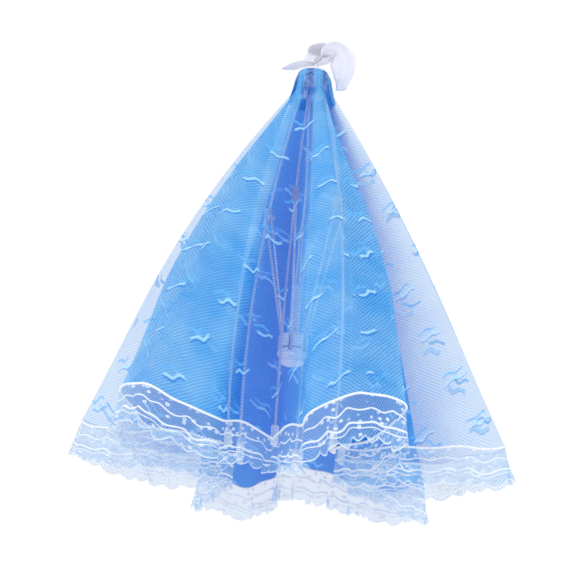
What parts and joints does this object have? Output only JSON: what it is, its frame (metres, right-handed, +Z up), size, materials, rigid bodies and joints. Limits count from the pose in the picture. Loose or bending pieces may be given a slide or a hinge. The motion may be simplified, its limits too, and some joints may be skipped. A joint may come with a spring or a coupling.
{
  "type": "folding mesh food cover",
  "caption": "Umbrella-style mesh food cover, nearly folded: wire ribs, stretchers, sliding runner on a pull cord, gored net canopy with a lace hem.",
  "frame": {"origin": "on the centre axis at the lowest edge of the hem lace, folded", "axes": "+Z up along the runner's travel, -Y towards rib 1, lobes of the canopy along X"},
  "size_m": [0.32, 0.2838, 0.3643],
  "materials": {
    "white_plastic": "semi-gloss moulded",
    "stem_plastic": "translucent white moulded",
    "steel_wire": "drawn wire",
    "bracket": "satin",
    "cord": "twisted cord",
    "ribbon": "satin",
    "mesh_cloth": "open knitted net",
    "hem_lace": "open lace"
  },
  "bodies": {
    "hub": {"top_hub": "white_plastic", "hub_cap": "white_plastic", "hub_wire_ring": "steel_wire"},
    "runner": {"runner_crown": "white_plastic", "runner_wire_ring": "steel_wire", "runner_stem": "stem_plastic", "cord_loop": "cord", "cord_knot": "cord", "pull_cord": "cord", "pull_ribbon": "ribbon"},
    "rib_1_body": {"rib_1": "steel_wire", "rib_clip_1": "bracket", "rib_tip_1": "white_plastic"},
    "stretcher_1_body": {"stretcher_1": "steel_wire"},
    "cloth_1a": {"net_half_1a": "mesh_cloth", "lace_half_1a": "hem_lace"},
    "cloth_1b": {"net_half_1b": "mesh_cloth", "lace_half_1b": "hem_lace"},
    "rib_2_body": {"rib_2": "steel_wire", "rib_clip_2": "bracket", "rib_tip_2": "white_plastic"},
    "stretcher_2_body": {"stretcher_2": "steel_wire"},
    "cloth_2a": {"net_half_2a": "mesh_cloth", "lace_half_2a": "hem_lace"},
    "cloth_2b": {"net_half_2b": "mesh_cloth", "lace_half_2b": "hem_lace"},
    "rib_3_body": {"rib_3": "steel_wire", "rib_clip_3": "bracket", "rib_tip_3": "white_plastic"},
    "stretcher_3_body": {"stretcher_3": "steel_wire"},
    "cloth_3a": {"net_half_3a": "mesh_cloth", "lace_half_3a": "hem_lace"},
    "cloth_3b": {"net_half_3b": "mesh_cloth", "lace_half_3b": "hem_lace"},
    "rib_4_body": {"rib_4": "steel_wire", "rib_clip_4": "bracket", "rib_tip_4": "white_plastic"},
    "stretcher_4_body": {"stretcher_4": "steel_wire"},
    "cloth_4a": {"net_half_4a": "mesh_cloth", "lace_half_4a": "hem_lace"},
    "cloth_4b": {"net_half_4b": "mesh_cloth", "lace_half_4b": "hem_lace"},
    "rib_5_body": {"rib_5": "steel_wire", "rib_clip_5": "bracket", "rib_tip_5": "white_plastic"},
    "stretcher_5_body": {"stretcher_5": "steel_wire"},
    "cloth_5a": {"net_half_5a": "mesh_cloth", "lace_half_5a": "hem_lace"},
    "cloth_5b": {"net_half_5b": "mesh_cloth", "lace_half_5b": "hem_lace"},
    "rib_6_body": {"rib_6": "steel_wire", "rib_clip_6": "bracket", "rib_tip_6": "white_plastic"},
    "stretcher_6_body": {"stretcher_6": "steel_wire"},
    "cloth_6a": {"net_half_6a": "mesh_cloth", "lace_half_6a": "hem_lace"},
    "cloth_6b": {"net_half_6b": "mesh_cloth", "lace_half_6b": "hem_lace"}
  },
  "joints": [
    {"name": "rib_1_swing", "type": "hinge", "parent": "hub", "child": "rib_1_body", "pos_m": [0, -0.008, 0.33092], "axis": [-1, 0, 0], "range_deg": [-3, 38]},
    {"name": "stretcher_1_swing", "type": "hinge", "parent": "rib_1_body", "child": "stretcher_1_body", "pos_m": [0, -0.03227, 0.21953], "axis": [-1, 0, 0], "range_deg": [-77, 7]},
    {"name": "cloth_1a_fold", "type": "hinge", "parent": "rib_1_body", "child": "cloth_1a", "pos_m": [0, -0.008, 0.33092], "axis": [0, -0.1219, -0.9925], "range_deg": [-5, 54]},
    {"name": "cloth_1b_fold", "type": "hinge", "parent": "rib_1_body", "child": "cloth_1b", "pos_m": [0, -0.008, 0.33092], "axis": [0, 0.1219, 0.9925], "range_deg": [-5, 54]},
    {"name": "rib_2_swing", "type": "hinge", "parent": "hub", "child": "rib_2_body", "pos_m": [0.00693, -0.004, 0.33092], "axis": [-0.5, -0.866, 0], "range_deg": [-3, 38]},
    {"name": "stretcher_2_swing", "type": "hinge", "parent": "rib_2_body", "child": "stretcher_2_body", "pos_m": [0.02794, -0.01613, 0.21953], "axis": [-0.5, -0.866, 0], "range_deg": [-77, 7]},
    {"name": "cloth_2a_fold", "type": "hinge", "parent": "rib_2_body", "child": "cloth_2a", "pos_m": [0.00693, -0.004, 0.33092], "axis": [0.1055, -0.0609, -0.9925], "range_deg": [-5, 54]},
    {"name": "cloth_2b_fold", "type": "hinge", "parent": "rib_2_body", "child": "cloth_2b", "pos_m": [0.00693, -0.004, 0.33092], "axis": [-0.1055, 0.0609, 0.9925], "range_deg": [-5, 54]},
    {"name": "rib_3_swing", "type": "hinge", "parent": "hub", "child": "rib_3_body", "pos_m": [0.00693, 0.004, 0.33092], "axis": [0.5, -0.866, 0], "range_deg": [-3, 38]},
    {"name": "stretcher_3_swing", "type": "hinge", "parent": "rib_3_body", "child": "stretcher_3_body", "pos_m": [0.02794, 0.01613, 0.21953], "axis": [0.5, -0.866, 0], "range_deg": [-77, 7]},
    {"name": "cloth_3a_fold", "type": "hinge", "parent": "rib_3_body", "child": "cloth_3a", "pos_m": [0.00693, 0.004, 0.33092], "axis": [0.1055, 0.0609, -0.9925], "range_deg": [-5, 54]},
    {"name": "cloth_3b_fold", "type": "hinge", "parent": "rib_3_body", "child": "cloth_3b", "pos_m": [0.00693, 0.004, 0.33092], "axis": [-0.1055, -0.0609, 0.9925], "range_deg": [-5, 54]},
    {"name": "rib_4_swing", "type": "hinge", "parent": "hub", "child": "rib_4_body", "pos_m": [0, 0.008, 0.33092], "axis": [1, 0, 0], "range_deg": [-3, 38]},
    {"name": "stretcher_4_swing", "type": "hinge", "parent": "rib_4_body", "child": "stretcher_4_body", "pos_m": [0, 0.03227, 0.21953], "axis": [1, 0, 0], "range_deg": [-77, 7]},
    {"name": "cloth_4a_fold", "type": "hinge", "parent": "rib_4_body", "child": "cloth_4a", "pos_m": [0, 0.008, 0.33092], "axis": [0, 0.1219, -0.9925], "range_deg": [-5, 54]},
    {"name": "cloth_4b_fold", "type": "hinge", "parent": "rib_4_body", "child": "cloth_4b", "pos_m": [0, 0.008, 0.33092], "axis": [0, -0.1219, 0.9925], "range_deg": [-5, 54]},
    {"name": "rib_5_swing", "type": "hinge", "parent": "hub", "child": "rib_5_body", "pos_m": [-0.00693, 0.004, 0.33092], "axis": [0.5, 0.866, 0], "range_deg": [-3, 38]},
    {"name": "stretcher_5_swing", "type": "hinge", "parent": "rib_5_body", "child": "stretcher_5_body", "pos_m": [-0.02794, 0.01613, 0.21953], "axis": [0.5, 0.866, 0], "range_deg": [-77, 7]},
    {"name": "cloth_5a_fold", "type": "hinge", "parent": "rib_5_body", "child": "cloth_5a", "pos_m": [-0.00693, 0.004, 0.33092], "axis": [-0.1055, 0.0609, -0.9925], "range_deg": [-5, 54]},
    {"name": "cloth_5b_fold", "type": "hinge", "parent": "rib_5_body", "child": "cloth_5b", "pos_m": [-0.00693, 0.004, 0.33092], "axis": [0.1055, -0.0609, 0.9925], "range_deg": [-5, 54]},
    {"name": "rib_6_swing", "type": "hinge", "parent": "hub", "child": "rib_6_body", "pos_m": [-0.00693, -0.004, 0.33092], "axis": [-0.5, 0.866, 0], "range_deg": [-3, 38]},
    {"name": "stretcher_6_swing", "type": "hinge", "parent": "rib_6_body", "child": "stretcher_6_body", "pos_m": [-0.02794, -0.01613, 0.21953], "axis": [-0.5, 0.866, 0], "range_deg": [-77, 7]},
    {"name": "cloth_6a_fold", "type": "hinge", "parent": "rib_6_body", "child": "cloth_6a", "pos_m": [-0.00693, -0.004, 0.33092], "axis": [-0.1055, -0.0609, -0.9925], "range_deg": [-5, 54]},
    {"name": "cloth_6b_fold", "type": "hinge", "parent": "rib_6_body", "child": "cloth_6b", "pos_m": [-0.00693, -0.004, 0.33092], "axis": [0.1055, 0.0609, 0.9925], "range_deg": [-5, 54]},
    {"name": "runner_swing", "type": "hinge", "parent": "stretcher_1_body", "child": "runner", "pos_m": [0, -0.008, 0.10814], "axis": [-1, 0, 0], "range_deg": [-4, 39]}
  ],
  "couplings": [
    {"joint": "stretcher_1_swing", "follows": "rib_1_swing", "ratio": -2},
    {"joint": "cloth_1a_fold", "follows": "rib_1_swing", "ratio": 1.395},
    {"joint": "cloth_1b_fold", "follows": "rib_1_swing", "ratio": 1.395},
    {"joint": "stretcher_2_swing", "follows": "rib_1_swing", "ratio": -2},
    {"joint": "rib_2_swing", "follows": "rib_1_swing", "ratio": 1},
    {"joint": "cloth_2a_fold", "follows": "rib_1_swing", "ratio": 1.395},
    {"joint": "cloth_2b_fold", "follows": "rib_1_swing", "ratio": 1.395},
    {"joint": "stretcher_3_swing", "follows": "rib_1_swing", "ratio": -2},
    {"joint": "rib_3_swing", "follows": "rib_1_swing", "ratio": 1},
    {"joint": "cloth_3a_fold", "follows": "rib_1_swing", "ratio": 1.395},
    {"joint": "cloth_3b_fold", "follows": "rib_1_swing", "ratio": 1.395},
    {"joint": "stretcher_4_swing", "follows": "rib_1_swing", "ratio": -2},
    {"joint": "rib_4_swing", "follows": "rib_1_swing", "ratio": 1},
    {"joint": "cloth_4a_fold", "follows": "rib_1_swing", "ratio": 1.395},
    {"joint": "cloth_4b_fold", "follows": "rib_1_swing", "ratio": 1.395},
    {"joint": "stretcher_5_swing", "follows": "rib_1_swing", "ratio": -2},
    {"joint": "rib_5_swing", "follows": "rib_1_swing", "ratio": 1},
    {"joint": "cloth_5a_fold", "follows": "rib_1_swing", "ratio": 1.395},
    {"joint": "cloth_5b_fold", "follows": "rib_1_swing", "ratio": 1.395},
    {"joint": "stretcher_6_swing", "follows": "rib_1_swing", "ratio": -2},
    {"joint": "rib_6_swing", "follows": "rib_1_swing", "ratio": 1},
    {"joint": "cloth_6a_fold", "follows": "rib_1_swing", "ratio": 1.395},
    {"joint": "cloth_6b_fold", "follows": "rib_1_swing", "ratio": 1.395},
    {"joint": "runner_swing", "follows": "rib_1_swing", "ratio": 1}
  ]
}
